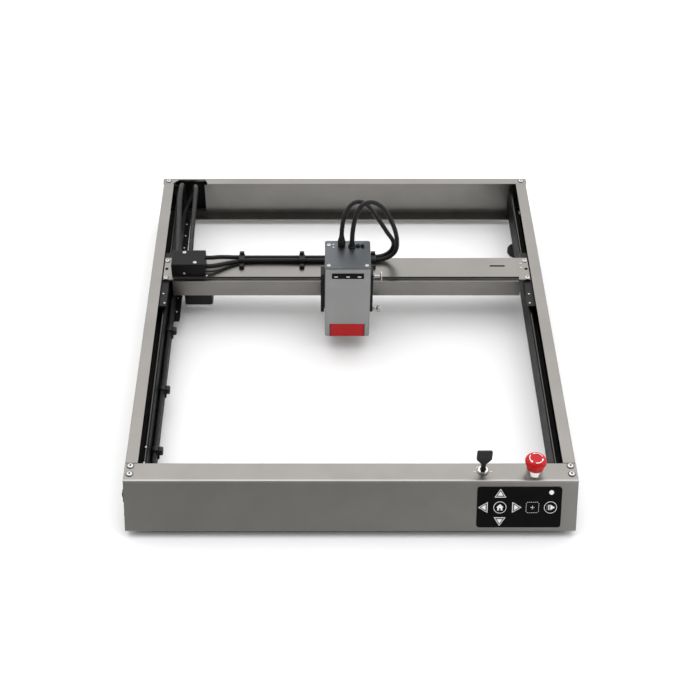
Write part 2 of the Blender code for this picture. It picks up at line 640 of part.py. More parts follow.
def thumb_screw(name, z):
    start = CHEEK_IN + 0.3
    knob = {"upper": [(7.2, 17.2), (7.2, 15.0), (2.0, 15.0)],
            "lower": [(4.6, 16.2), (4.6, 11.4), (2.0, 10.4)]}[name]
    profile = [(0, knob[0][1]), *knob, (2.0, 7.0), (3.2, 6.4), (3.2, 5.2), (2.0, 4.7),
               (2.0, 0), (0, 0)]
    turned("thumb_screw_" + name, profile, (start, SCREW_Y, z), (1, 0, 0), STEEL, 20)


def module_shell():
    low, high = MODULE_BOTTOM, MODULE_TOP - 1.8
    outer = rounded_rectangle(-MODULE_HALF, MODULE_FRONT, MODULE_HALF, MODULE_BACK, 3.0)
    inner = rounded_rectangle(-MODULE_HALF + 1.8, MODULE_FRONT + 1.8, MODULE_HALF - 1.8,
                              MODULE_BACK - 1.8, 1.5)
    shell = prism("module_housing", outer, "Z", low, high, MODULE, [inner])
    cut(shell, box("window_way", (-25, MODULE_FRONT - 2, low - 2),
                   (25, MODULE_FRONT + 4, low + 23.6), MODULE))
    cover = prism("module_cover", outer, "Z", high + GAP, MODULE_TOP, MODULE)
    soften(cover, 0.5)
    box("laser_window", (-24.7, MODULE_FRONT - 0.4, low), (24.7, MODULE_FRONT + 1.6,
                                                           low + 23.3), RED_GLASS, bevel=0.3)


def laser_unit():
    """A finned heat sink round the diodes, with the lens barrel under it."""
    sink = box("laser_unit", (-27, 328, -16), (27, 378, 38), ALUMINIUM)
    for k in range(6):
        x = -22.5 + 9 * k
        cut(sink, box("fin_gap_%d" % k, (x - 2.6, 320, 2), (x + 2.6, 386, 45), ALUMINIUM))
    barrel = cylinder("lens_barrel", (0, 353, -38), (0, 0, 1), 24, 11, ALUMINIUM, sides=24)
    weld(sink, barrel)
    cut(sink, cylinder("lens_bore", (0, 353, -45), (0, 0, 1), 22, 6, ALUMINIUM, sides=20))


def fan_rotor():
    hub = cylinder("fan_rotor", (0, 353, 48), (0, 0, 1), 12, 8, BLACK, sides=20)
    for k in range(7):
        blade = box("blade_%d" % k, (0, 352.2, 49), (21, 353.8, 59), BLACK)
        angle = 2 * math.pi * k / 7
        centre = point(0, 353, 54)
        tilt = Matrix.Rotation(math.radians(38), 4, "X")
        turn = Matrix.Rotation(angle, 4, "Z")
        offset = Matrix.Translation((10.5 * MM, 0, 0))
        blade.matrix_world = Matrix.Translation(centre) @ turn @ offset @ tilt
        weld(hub, blade)


# Cables

def cables():
    loop_y = IDLER_Y + 10
    power = [(-258, 29.5, -45.4), (-258, 60, -45.4), (-258, 178, -45.4), (-258, 291, -45.4),
             (-258, 420, -45.4), (-258, 540, -45.4), (-258, 590, -45.4),
             (-258, loop_y, -45.2), (-258.2, loop_y + 17, -38.5),
             (-258.4, loop_y + 24, -20.5), (-258.7, loop_y + 17, -2.5),
             (-259, loop_y, 4.8), (-258.6, 580, 5.4), (-254.5, 500, 6), (-251.4, 437.7, 6)]
    cable("y_power_cable", power, 8.0, 16)
    signal = [(-258, 29.5, -36.9), (-258, 60, -36.9), (-258, 178, -36.9), (-258, 291, -36.9),
              (-258, 420, -36.9), (-258, 540, -36.9), (-257, 590, -36.6),
              (-254.5, loop_y - 1, -35.0), (-249, loop_y + 13.5, -28.5),
              (-243, loop_y + 19.5, -15.5), (-238, loop_y + 13.5, -2.0),
              (-235.6, loop_y - 2, 4.6), (-235, 580, 5.4), (-233.8, 500, 6),
              (-232.6, 437.7, 6)]
    cable("y_signal_cable", signal, 7.0, 16)
    head_power = [(-208.0, 415, 7), (-200, 415, 7), (-186, 421.5, 4.5), (-165, 431, 2),
                  (-140, 434.4, 1.8), (-60, 434.4, 1.8), (20, 434.4, 1.8), (44, 435, 2.2),
                  (60, 436.6, 5), (70.7, 436, 15), (74.2, 433, 31), (71.6, 426, 58.7), (62.9, 417, 91),
                  (50.3, 409, 119), (35, 401, 135.6), (20, 392, 136.6), (10.6, 383, 122),
                  (7.0, 375.4, 103), (6.2, 371, 90), (6.2, 370, 80.4)]
    cable("head_power_cable", head_power, 6.6, 9)
    head_signal = [(-208.0, 431, 10), (-200, 431, 10), (-186, 436.4, 6.8), (-165, 440.6, 2.8),
                   (-140, 441.4, 1.8), (-60, 441.4, 1.8), (20, 441.4, 1.8), (44, 441.6, 3),
                   (58, 443, 6), (67.5, 442.2, 17), (69, 439, 34), (58.6, 431.5, 58),
                   (45.2, 423, 88), (31.8, 415, 114.5), (21.5, 407, 131), (7.5, 398, 136),
                   (-3, 388, 127), (-7.6, 380, 110), (-8.6, 375.5, 93), (-8.6, 374.2, 80.4)]
    cable("head_signal_cable", head_signal, 6.4, 9)


def build():
    front_console()
    console_base()
    for side, sign in (("left", -1), ("right", 1)):
        side_rail(side, sign)
        y_guide(side, sign)
        y_carriage(side, sign)
    rear_beam()
    y_drive()
    feet()
    control_panel()
    mainboard()
    key_switch()
    emergency_stop()
    power_rocker()
    dc_inlet()
    gantry_beam()
    y_rollers()
    x_drive()
    junction_box()
    laser_bracket()
    for name, z in SCREW_Z.items():
        thumb_screw(name, z)
    module_shell()
    laser_unit()
    fan_rotor()
    cables()


build()
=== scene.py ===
import json
import math

import bmesh
import bpy
from mathutils import Matrix, Vector


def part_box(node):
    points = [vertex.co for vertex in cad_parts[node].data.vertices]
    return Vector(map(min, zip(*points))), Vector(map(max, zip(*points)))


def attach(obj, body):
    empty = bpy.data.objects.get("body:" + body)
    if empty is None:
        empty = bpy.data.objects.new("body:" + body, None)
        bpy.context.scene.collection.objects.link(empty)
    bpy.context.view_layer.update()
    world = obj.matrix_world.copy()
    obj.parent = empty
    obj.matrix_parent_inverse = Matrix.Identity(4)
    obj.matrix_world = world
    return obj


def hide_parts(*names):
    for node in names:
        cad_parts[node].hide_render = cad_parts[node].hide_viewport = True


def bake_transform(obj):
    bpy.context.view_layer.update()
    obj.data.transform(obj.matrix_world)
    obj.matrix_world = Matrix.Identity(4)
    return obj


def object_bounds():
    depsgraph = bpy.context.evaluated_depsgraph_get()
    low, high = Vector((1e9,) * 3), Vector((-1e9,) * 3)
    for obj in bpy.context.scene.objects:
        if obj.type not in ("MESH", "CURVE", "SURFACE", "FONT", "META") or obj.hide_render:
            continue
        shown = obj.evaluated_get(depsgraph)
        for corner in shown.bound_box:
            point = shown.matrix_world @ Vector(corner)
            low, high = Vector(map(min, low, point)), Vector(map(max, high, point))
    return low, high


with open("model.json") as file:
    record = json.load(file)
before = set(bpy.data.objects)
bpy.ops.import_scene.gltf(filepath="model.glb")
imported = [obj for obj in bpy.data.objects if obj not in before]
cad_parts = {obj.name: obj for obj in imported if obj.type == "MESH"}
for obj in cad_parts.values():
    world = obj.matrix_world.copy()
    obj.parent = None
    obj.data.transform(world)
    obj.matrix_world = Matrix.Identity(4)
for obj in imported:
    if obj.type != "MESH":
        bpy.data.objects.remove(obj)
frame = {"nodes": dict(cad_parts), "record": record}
cad_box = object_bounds()

# The looks of the desktop laser cutter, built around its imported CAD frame.
#
# Drawing coordinates are in millimetres: x runs right from the centre line, y runs back from
# the console's top front edge, and z runs up from the frame's top plane. at() turns them
# into the frame's metres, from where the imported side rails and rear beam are.

MM = 0.001
RAIL_LEFT, RAIL_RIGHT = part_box("side_rail_left"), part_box("side_rail_right")
TOP_DEPTH = 643.0       # console's top front edge to the rear beam's back face
LEAN = 29.9             # how far the console's foot stands in front of its top edge
BODY_HEIGHT = (RAIL_LEFT[1].z - RAIL_LEFT[0].z) / MM
SLOPE = math.atan2(LEAN, BODY_HEIGHT)
ORIGIN = Vector(((RAIL_LEFT[0].x + RAIL_RIGHT[1].x) / 2,
                 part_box("rear_beam")[1].y - TOP_DEPTH * MM, RAIL_LEFT[1].z))
PANEL_FACE = 1.3        # how far the panel's face stands out from the sloped front
PRINT = 0.12            # thickness of a printed symbol
BEAM_TOP = (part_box("gantry_beam")[1].z - ORIGIN.z) / MM
MODULE_TOP = (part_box("module_cover")[1].z - ORIGIN.z) / MM
MODULE_FRONT = (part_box("module_housing")[0].y - ORIGIN.y) / MM
BOX_TOP = (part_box("junction_box")[1].z - ORIGIN.z) / MM
UP = (0, 0, 1)
QUARTER = math.pi / 2
UPRIGHT = Matrix.Rotation(QUARTER, 4, "X")              # a flat outline stands, facing front
SIDEWAYS = Matrix.Rotation(QUARTER, 4, "Z") @ UPRIGHT   # a flat outline stands, facing right


def at(x, y, z):
    return ORIGIN + Vector((x, y, z)) * MM


def middle_of(node):
    """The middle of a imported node's box, in drawing coordinates."""
    return [((a + b) / 2 - o) / MM for a, b, o in zip(*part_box(node), ORIGIN)]


def facing(axis):
    """The turn that takes a local +Z to a drawing axis."""
    return Vector(axis).to_track_quat("Z", "Y").to_matrix().to_4x4()


def on_slope(x, down, out):
    """A place on the console's sloped front: down the slope, and out from its face."""
    turn = Matrix.Rotation(QUARTER - SLOPE, 4, "X")
    return Matrix.Translation(ORIGIN) @ turn @ Matrix.Translation(Vector((x, -down, out)) * MM)


# Camera, light and floor

SKY_PEAK = (0, 0.78, 0.63)      # the brightest direction
SKY_START = -0.45               # cosine from the peak where the sky starts to brighten
SKY_FULL = 0.97                 # cosine from the peak where it is brightest
SKY_DIM = 0.14
SKY_BRIGHT = 1.9
FLOOR_REACH = 60.0              # half the floor's side, in metres
FLOOR_GAP = 0.0002              # keeps the floor just under the feet


def mesh_from(name, bm):
    mesh = bpy.data.meshes.new(name)
    bm.to_mesh(mesh)
    bm.free()
    return mesh


def make_camera():
    data = bpy.data.cameras.new("camera")
    data.sensor_width = 36.0
    data.lens = 71.53
    data.shift_x = 0.0399
    camera = bpy.data.objects.new("camera", data)
    bpy.context.scene.collection.objects.link(camera)
    camera.location = at(-36.24, -1168.51, 1324.42)
    camera.rotation_euler = (math.radians(90 - 43.211), 0, 0)
    bpy.context.scene.camera = camera


def soft_light(name, place, target, width, height, power):
    data = bpy.data.lights.new(name, "AREA")
    data.shape = "RECTANGLE"
    data.size, data.size_y, data.energy = width, height, power
    lamp = bpy.data.objects.new(name, data)
    bpy.context.scene.collection.objects.link(lamp)
    lamp.location = place
    lamp.rotation_euler = (Vector(target) - Vector(place)).to_track_quat("-Z", "Y").to_euler()


def make_light():
    """A tall soft sky, brightest high behind the object and dim low in front of it."""
    bpy.context.scene.view_settings.view_transform = "Standard"
    soft_light("overhead", (0.0, 0.6, 2.6), (0, 0.1, 0), 3.0, 2.4, 14)
    soft_light("right_fill", (2.4, -0.3, 1.2), (0.1, 0, 0), 1.2, 1.2, 5)
    soft_light("low_right", (1.9, -3.0, 0.35), (0.1, -0.3, 0.05), 1.5, 0.5, 17)
    world = bpy.data.worlds.new("studio")
    bpy.context.scene.world = world
    world.use_nodes = True
    nodes, links = world.node_tree.nodes, world.node_tree.links
    shade = nodes["Background"]
    shade.inputs["Color"].default_value = (1, 1, 1, 1)
    where = nodes.new("ShaderNodeTexCoord")
    along = nodes.new("ShaderNodeVectorMath")
    along.operation = "DOT_PRODUCT"
    along.inputs[1].default_value = Vector(SKY_PEAK).normalized()
    level = nodes.new("ShaderNodeMapRange")
    level.interpolation_type = "SMOOTHSTEP"
    level.inputs["From Min"].default_value = SKY_START
    level.inputs["From Max"].default_value = SKY_FULL
    level.inputs["To Min"].default_value = SKY_DIM
    level.inputs["To Max"].default_value = SKY_BRIGHT
    links.new(where.outputs["Generated"], along.inputs[0])
    links.new(along.outputs["Value"], level.inputs["Value"])
    links.new(level.outputs["Result"], shade.inputs["Strength"])


def make_floor():
    bm = bmesh.new()
    bmesh.ops.create_grid(bm, x_segments=2, y_segments=2, size=FLOOR_REACH)
    mesh = mesh_from("floor", bm)
    floor = bpy.data.objects.new("floor", mesh)
    bpy.context.scene.collection.objects.link(floor)
    floor.location.z = cad_box[0].z - FLOOR_GAP
    finish = Finish("floor_white", (0.93, 0.93, 0.93), 0.9)
    finish.tint(9.0, 0.01)
    mesh.materials.append(finish.material)


# Materials

class Finish:
    """A Principled material with small helpers for its procedural detail."""

    def __init__(self, name, color, roughness, metallic=0.0, coat=0.0):
        self.material = bpy.data.materials.new(name)
        self.material.use_nodes = True
        tree = self.material.node_tree
        self.nodes, self.links = tree.nodes, tree.links
        self.shader = self.nodes["Principled BSDF"]
        self.color, self.roughness = color, roughness
        self.shader.inputs["Base Color"].default_value = (*color, 1)
        self.shader.inputs["Roughness"].default_value = roughness
        self.shader.inputs["Metallic"].default_value = metallic
        self.shader.inputs["Coat Weight"].default_value = coat
        self.shader.inputs["Coat Roughness"].default_value = 0.08
        self.where = self.nodes.new("ShaderNodeTexCoord").outputs["Object"]

    def noise(self, scale, detail=3.0, stretch=(1, 1, 1)):
        mapping = self.nodes.new("ShaderNodeMapping")
        mapping.inputs["Scale"].default_value = stretch
        texture = self.nodes.new("ShaderNodeTexNoise")
        texture.inputs["Scale"].default_value = scale
        texture.inputs["Detail"].default_value = detail
        self.links.new(self.where, mapping.inputs["Vector"])
        self.links.new(mapping.outputs["Vector"], texture.inputs["Vector"])
        return texture.outputs["Fac"]

    def spread(self, value, low, high):
        remap = self.nodes.new("ShaderNodeMapRange")
        remap.inputs["From Min"].default_value = 0.3
        remap.inputs["From Max"].default_value = 0.7
        remap.inputs["To Min"].default_value = low
        remap.inputs["To Max"].default_value = high
        self.links.new(value, remap.inputs["Value"])
        return remap.outputs["Result"]

    def tint(self, scale, amount, stretch=(1, 1, 1)):
        """Slow colour variation, as a share of the colour."""
        mix = self.nodes.new("ShaderNodeMix")
        mix.data_type = "RGBA"
        mix.inputs["A"].default_value = (*[c * (1 - amount) for c in self.color], 1)
        mix.inputs["B"].default_value = (*[min(1, c * (1 + amount)) for c in self.color], 1)
        self.links.new(self.spread(self.noise(scale, stretch=stretch), 0, 1),
                       mix.inputs["Factor"])
        self.links.new(mix.outputs["Result"], self.shader.inputs["Base Color"])

    def uneven(self, scale, amount, stretch=(1, 1, 1)):
        value = self.spread(self.noise(scale, stretch=stretch), self.roughness - amount,
                            self.roughness + amount)
        self.links.new(value, self.shader.inputs["Roughness"])

    def bump(self, height, depth_mm, strength=0.5):
        node = self.nodes.new("ShaderNodeBump")
        node.inputs["Strength"].default_value = strength
        node.inputs["Distance"].default_value = depth_mm * MM
        self.links.new(height, node.inputs["Height"])
        self.links.new(node.outputs["Normal"], self.shader.inputs["Normal"])


def grained(name, color, roughness, grain, depth, metallic=0.0, coat=0.0, stretch=(1, 1, 1),
            specular=0.5):
    """A finish with a fine grain, slow tint and uneven gloss."""
    made = Finish(name, color, roughness, metallic, coat)
    made.shader.inputs["Specular IOR Level"].default_value = specular
    made.tint(14, 0.05)
    made.uneven(60, 0.04, stretch)
    made.bump(made.noise(grain, stretch=stretch), depth)
    return made.material


def braided():
    """A woven cable sleeve: two sets of threads crossing at the tube's own coordinates."""
    made = Finish("braided_sleeve", (0.005, 0.005, 0.005), 0.42)
    made.shader.inputs["Specular IOR Level"].default_value = 0.26
    uv = made.nodes.new("ShaderNodeUVMap")
    uv.uv_map = "sleeve"
    waves = []
    for lean in (1, -1):
        turn = made.nodes.new("ShaderNodeMapping")
        turn.inputs["Rotation"].default_value = (0, 0, lean * math.radians(45))
        wave = made.nodes.new("ShaderNodeTexWave")
        wave.inputs["Scale"].default_value = 5.0
        made.links.new(uv.outputs["UV"], turn.inputs["Vector"])
        made.links.new(turn.outputs["Vector"], wave.inputs["Vector"])
        waves.append(wave.outputs["Fac"])
    both = made.nodes.new("ShaderNodeMath")
    both.operation = "MAXIMUM"
    made.links.new(waves[0], both.inputs[0])
    made.links.new(waves[1], both.inputs[1])
    made.uneven(200, 0.08)
    made.bump(both.outputs[0], 0.25, 0.6)
    return made.material


def make_finishes():
    long_x = (0.06, 1, 1)
    return {
        "grey_metal": grained("satin_grey", (0.212, 0.204, 0.192), 0.34, 1800, 0.02, 1.0),
        "dark_metal": grained("satin_black", (0.008, 0.008, 0.008), 0.4, 1500, 0.02, 0.0,
                              specular=0.17),
        "steel": grained("ground_steel", (0.45, 0.45, 0.45), 0.24, 900, 0.01, 1.0,
                         stretch=long_x),
        "chrome_trim": grained("bright_plate", (0.62, 0.61, 0.59), 0.14, 700, 0.004, 1.0),
        "plain_aluminium": grained("turned_aluminium", (0.72, 0.72, 0.73), 0.32, 900, 0.01,
                                   1.0, stretch=long_x),
        "black_plastic": grained("moulded_black", (0.012, 0.012, 0.012), 0.42, 1300, 0.03,
                                 specular=0.22),
        "gloss_black": grained("gloss_film", (0.003, 0.003, 0.003), 0.22, 900, 0.003,
                               specular=0.07),
        "black_rubber": grained("black_rubber", (0.012, 0.012, 0.012), 0.75, 700, 0.05,
                                specular=0.3),
        "cable_sheath": braided(),
        "belt_rubber": grained("belt_rubber", (0.01, 0.01, 0.01), 0.7, 900, 0.04,
                               specular=0.25),
        "red_plastic": grained("red_plastic", (0.44, 0.004, 0.006), 0.14, 700, 0.006,
                               specular=0.2),
        "red_acrylic": grained("red_acrylic", (0.52, 0.012, 0.014), 0.25, 500, 0.004,
                               specular=0.15),
        "module_grey": grained("blasted_grey", (0.27, 0.275, 0.27), 0.42, 2200, 0.03, 0.75),
        "circuit_board": grained("circuit_board", (0.02, 0.12, 0.06), 0.45, 500, 0.02),
        "white_print": grained("white_print", (0.86, 0.86, 0.86), 0.5, 600, 0.005),
        "grey_print": grained("grey_print", (0.1, 0.1, 0.1), 0.5, 600, 0.005),
        "motor_cap": grained("cast_cap", (0.66, 0.66, 0.66), 0.4, 900, 0.03),
        "cover_grey": grained("cover_grey", (0.092, 0.098, 0.105), 0.36, 2200, 0.03, 1.0),
        # A lighter grey than satin_grey, as a painted highlight on the front edge's fold.
        "fold_highlight": grained("fold_highlight", (0.37, 0.36, 0.345), 0.3, 1800, 0.02, 1.0),
        "box_black": grained("box_black", (0.006, 0.006, 0.006), 0.4, 1300, 0.03,
                             specular=0.12),
        "rail_black": grained("rail_black", (0.006, 0.006, 0.006), 0.5, 1500, 0.02,
                              specular=0.07),
        "rod_steel": grained("rod_steel", (0.1, 0.1, 0.098), 0.3, 900, 0.01, 1.0,
                             stretch=(1, 0.06, 1)),
        # Black for screw sockets, countersink rings and the rear beam's inside: painted shade.
        "painted_shade_black": grained("socket_shadow", (0.004, 0.004, 0.004), 0.6, 900, 0.01,
                             specular=0.1),
    }


FINISHES = make_finishes()
OWN_FINISH = {"module_cover": "cover_grey", "junction_box": "box_black",
              "y_channel_left": "rail_black", "y_channel_right": "rail_black",
              "guide_rod_left": "rod_steel", "guide_rod_right": "rod_steel"}


def dress_cad_nodes():
    for part in frame["record"]["subparts"]:
        mesh = frame["nodes"][part["node"]].data
        mesh.materials.clear()
        mesh.materials.append(FINISHES[OWN_FINISH.get(part["node"], part["material_slot"])])


# Building tools


def finish_piece(name, mesh, slot, body=None, turn=None, smooth_deg=40):
    mesh.shade_smooth()
    mesh.set_sharp_from_angle(angle=math.radians(smooth_deg))
    mesh.materials.clear()
    mesh.materials.append(FINISHES[slot])
    made = bpy.data.objects.new(name, mesh)
    bpy.context.scene.collection.objects.link(made)
    if turn is not None:
        made.matrix_world = turn
    if body:
        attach(made, body)
    return made


def add_rings(bm, rings):
    """Skins closed rings of equal size into a tube, and caps both ends."""
    loops = [[bm.verts.new(p) for p in ring] for ring in rings]
    count = len(loops[0])
    for a, b in zip(loops, loops[1:]):
        for k in range(count):
            n = (k + 1) % count
            bm.faces.new((a[k], a[n], b[n], b[k]))
    bm.faces.new(list(reversed(loops[0])))
    bm.faces.new(loops[-1])


def closed_mesh(name, bm):
    bmesh.ops.recalc_face_normals(bm, faces=bm.faces)
    return mesh_from(name, bm)


def turned_rings(profile, turn, sides, shape=None):
    """Rings for a turned solid, from (radius, height) pairs. shape(angle, index) scales a
    ring's radius, so that a socket can be hexagonal or a knob knurled."""
    rings = []
    for i, (radius, height) in enumerate(profile):
        ring = []
        for k in range(sides):
            angle = 2 * math.pi * k / sides
            r = radius * (shape(angle, i) if shape else 1.0)
            ring.append(turn @ (Vector((r * math.cos(angle), r * math.sin(angle), height)) * MM))
        rings.append(ring)
    return rings


def turned(name, profile, base, axis, slot, body, sides=48, shape=None):
    turn = Matrix.Translation(at(*base)) @ facing(axis)
    bm = bmesh.new()
    add_rings(bm, turned_rings(profile, turn, sides, shape))
    return finish_piece(name, closed_mesh(name, bm), slot, body)


def slab_mesh(name, outline, thickness, edge=0.0, holes=()):
    """A flat outline in local x and y, thick along z, with its edges rounded."""
    curve = bpy.data.curves.new(name, "CURVE")
    curve.dimensions = "2D"
    curve.fill_mode = "BOTH"
    curve.extrude = (thickness / 2 - edge) * MM
    curve.bevel_depth = edge * MM
    curve.bevel_resolution = 2
    curve.offset = -edge * MM
    for loop in (outline, *holes):
        spline = curve.splines.new("POLY")
        spline.points.add(len(loop) - 1)
        for dot, (u, v) in zip(spline.points, loop):
            dot.co = (u * MM, v * MM, 0, 1)
        spline.use_cyclic_u = True
    guide = bpy.data.objects.new(name, curve)
    bpy.context.scene.collection.objects.link(guide)
    bpy.context.view_layer.update()
    seen = guide.evaluated_get(bpy.context.evaluated_depsgraph_get())
    mesh = bpy.data.meshes.new_from_object(seen)
    bpy.data.objects.remove(guide, do_unlink=True)
    bm = bmesh.new()
    bm.from_mesh(mesh)
    bmesh.ops.remove_doubles(bm, verts=bm.verts, dist=1e-7)
    bpy.data.meshes.remove(mesh)
    return closed_mesh(name, bm)


def slab(name, outline, thickness, turn, slot, body, edge=0.0, holes=()):
    return finish_piece(name, slab_mesh(name, outline, thickness, edge, holes), slot, body, turn)


def joined(name, meshes, slot, body):
    """One piece made of several solids, from (mesh, turn) pairs."""
    bm = bmesh.new()
    for mesh, turn in meshes:
        mesh.transform(turn)
        bm.from_mesh(mesh)
        bpy.data.meshes.remove(mesh)
    return finish_piece(name, mesh_from(name, bm), slot, body)


def arc(radius, start_deg, end_deg, steps=16, centre=(0, 0)):
    out = []
    for k in range(steps + 1):
        angle = math.radians(start_deg + (end_deg - start_deg) * k / steps)
        out.append((centre[0] + radius * math.cos(angle), centre[1] + radius * math.sin(angle)))
    return out


def circle(radius, steps=40, centre=(0, 0)):
    return arc(radius, 0, 360 - 360 / steps, steps - 1, centre)


def rounded_rectangle(width, height, radius, centre=(0, 0), steps=5):
    u, v = width / 2 - radius, height / 2 - radius
    out = []
    for start, (su, sv) in ((0, (1, 1)), (90, (-1, 1)), (180, (-1, -1)), (270, (1, -1))):
        middle = (centre[0] + su * u, centre[1] + sv * v)
        out += arc(radius, start, start + 90, steps, middle)
    return out


def block(name, low, high, slot, body, edge=0.5, corner=1.2):
    """A box between two drawing points with rounded corners and edges, upright along z."""
    size = [b - a for a, b in zip(low, high)]
    middle = [(a + b) / 2 for a, b in zip(low, high)]
    outline = rounded_rectangle(size[0], size[1], min(corner, min(size[:2]) / 2 - 0.01))
    turn = Matrix.Translation(at(*middle))
    return slab(name, outline, size[2], turn, slot, body, edge=min(edge, size[2] / 2 - 0.01))


# Screws

HEX_STEP = math.radians(60)


def hexagon(angle):
    """A hexagon's radius over its inscribed circle's, at an angle."""
    return 1 / math.cos((angle % HEX_STEP) - HEX_STEP / 2)


def screws(name, places, axis, radius, body, slot="steel", height=None):
    """Button-head screws with hexagonal sockets, as one piece on one body; a black hex in each
    socket, a second piece, is painted shade.
    """
    height = height or radius * 0.42
    socket = radius * 0.31
    profile = [(radius * 0.96, -0.3), (radius, 0.05), (radius, height * 0.25),
               (radius * 0.93, height * 0.55), (radius * 0.78, height * 0.83),
               (radius * 0.58, height), (socket + 0.1, height), (socket, height * 0.94),
               (socket * 0.96, height * 0.2)]

    def shape(angle, index):
        return hexagon(angle) if index >= 6 else 1.0

    bm, shade_pits = bmesh.new(), bmesh.new()
    for place in places:
        turn = Matrix.Translation(at(*place)) @ facing(axis)
        add_rings(bm, turned_rings(profile, turn, 36, shape))
        # The black hex filling each socket is painted shade.
        shade_pit = [(socket * 0.9, height * 0.1), (socket * 0.98, height * 0.82)]
        add_rings(shade_pits, turned_rings(shade_pit, turn, 36, lambda angle, index: hexagon(angle)))
    finish_piece(name + "_socket_shade", closed_mesh(name + "_socket_shade", shade_pits), "painted_shade_black", body)
    return finish_piece(name, closed_mesh(name, bm), slot, body, smooth_deg=32)


def screw_seat_shades(name, places, axis, radius, body):
    """A dark ring round each screw's countersink, as painted shade."""
    meshes = []
    for place in places:
        mesh = slab_mesh(name, circle(radius), 0.2, 0.03, [circle(radius - 1.2)])
        meshes.append((mesh, Matrix.Translation(at(*place)) @ facing(axis)))
    return joined(name, meshes, "painted_shade_black", body)


def frame_screws():
    front = [(s * 281, y, 0) for s in (-1, 1) for y in (24.9, 11.3)]
    rear = [(s * 281, 635.6, 0) for s in (-1, 1)]
    screws("console_screws", front, UP, 4.3, "root")
    # The dark rings round the screws are painted shade.
    screw_seat_shades("console_screw_seat_shades", front, UP, 5.0, "root")
    screws("rear_screws", rear, UP, 3.9, "root")
    screw_seat_shades("rear_screw_seat_shades", rear, UP, 4.6, "root")
    edge = (RAIL_RIGHT[1].x - ORIGIN.x) / MM
    for side, sign in (("left", -1), ("right", 1)):
        places = [(sign * edge, y, z) for y, z in ((-14.8, -46.9), (19, -14), (19, -48),
                                                   (637.2, -14), (637.2, -50))]
        screws(side + "_wall_screws", places, (sign, 0, 0), 3.1, "root", height=1.2)
    rows = [(-252.5, 346.8 + 30.03 * k, -49.4) for k in range(1, 9)]
    screws("tray_screws", rows, UP, 1.9, "root", height=1.0)
    small = [(-266.3, y, -13.1) for y in (42.0, 70.0)]
    screws("rod_screws", small, UP, 1.9, "root", height=0.8)


def gantry_screws():
    plate = BEAM_TOP
    large = [(-267.0, 437.7, plate), (-266.3, 398.7, plate),
             (266.4, 438.0, plate), (266.6, 398.7, plate)]
    screws("gantry_plate_screws", large, UP, 3.9, "gantry")
    screws("gantry_small_screws", [(259.6, 430.7, plate), (259.4, 421.4, plate)], UP, 1.8,
           "gantry", height=0.8)
    carriage = [(-267.7, 366.4, -4.8), (-264.5, 345.8, -4.8),
                (265.5, 365.7, -4.8), (264.5, 345.8, -4.8)]
    screws("carriage_screws", carriage, UP, 1.7, "gantry", height=0.8)
    lid = [(-239.9, 430.8, BOX_TOP), (-223.1, 407.6, BOX_TOP)]
    screws("box_lid_screws", lid, UP, 2.9, "gantry", height=1.1)
    screws("box_front_screws", [(-239.6, 402.0, 3.7)], (0, -1, 0), 2.0, "gantry", height=0.9)
    screws("box_corner_screw", [(-207.0, 404.5, BEAM_TOP - 0.3)], UP, 2.6, "gantry", height=1.4)


# Console fittings

def bow_outline():
    """The key's moulded bow: a rounded shield tapering to the blade."""
    half = [(3.1, -5.0), (3.1, 7.6), (3.6, 9.0), (8.6, 15.0), (9.8, 17.4), (9.8, 29.6),
            *arc(2.2, 0, 90, 5, (7.6, 29.6))]
    return half + [(-u, v) for u, v in reversed(half)]


def key_set():
    x, y, _ = middle_of("key")
    top = (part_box("key")[1].z - ORIGIN.z) / MM
    stand = Matrix.Translation(at(x, y, top - 33.0)) @ UPRIGHT
    bow = slab("key_bow", bow_outline(), 3.2, stand, "black_plastic", "switch_key", edge=0.7)
    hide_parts("key")
    blade = [(-2.5, -22), (-1.0, -23.6), (1.2, -23.6), (2.5, -22), (2.5, -17.5), (1.7, -16.4),
             (2.5, -15.2), (2.5, -12.2), (1.9, -11.4), (2.5, -10.4), (2.5, 1.0), (-2.5, 1.0)]
    slab("key_blade", blade, 1.1, stand, "steel", "switch_key", edge=0.2)
    place = at(x, y, 3.2)
    slot_face = slab_mesh("face", circle(4.3), 0.5, 0.1, [rounded_rectangle(7.0, 4.2, 0.8)])
    joined("key_switch_face", [(slot_face, Matrix.Translation(place))], "black_plastic",
           "lock_cylinder")
    profile = [(7.3, 0.3), (7.3, 1.6), (6.9, 2.9), (6.2, 3.5), (5.4, 3.75), (4.7, 3.7),
               (4.45, 3.3), (4.45, 2.9), (4.45, 0.3)]
    sides = 64
    bm = bmesh.new()
    rings = turned_rings(profile, Matrix.Translation(at(x, y, 0)), sides)
    loops = [[bm.verts.new(p) for p in ring] for ring in rings]
    for a, b in zip(loops, loops[1:] + loops[:1]):
        for k in range(sides):
            n = (k + 1) % sides
            bm.faces.new((a[k], a[n], b[n], b[k]))
    finish_piece("key_switch_ring", closed_mesh("key_switch_ring", bm), "chrome_trim", "root")
    marks = []
    for sign in (-1, 1):
        turn = Matrix.Translation(at(x + sign * 10.6, y - 0.6, PRINT / 2))
        marks.append((slab_mesh("mark", rounded_rectangle(2.6, 0.8, 0.3), PRINT), turn))
    dial = arc(9.7, 118, 152) + arc(9.2, 152, 118)
    marks.append((slab_mesh("mark", dial, PRINT), Matrix.Translation(at(x, y, PRINT / 2))))
    joined("key_position_marks", marks, "white_print", "root")


def smooth_profile(knots, per_span=5):
    """A finer (radius, height) profile through the knots, by Catmull-Rom."""
    return [(max(p.x, 0.0), p.y) for p in route_through([(r, h, 0) for r, h in knots], 0,
                                                       per_span)]


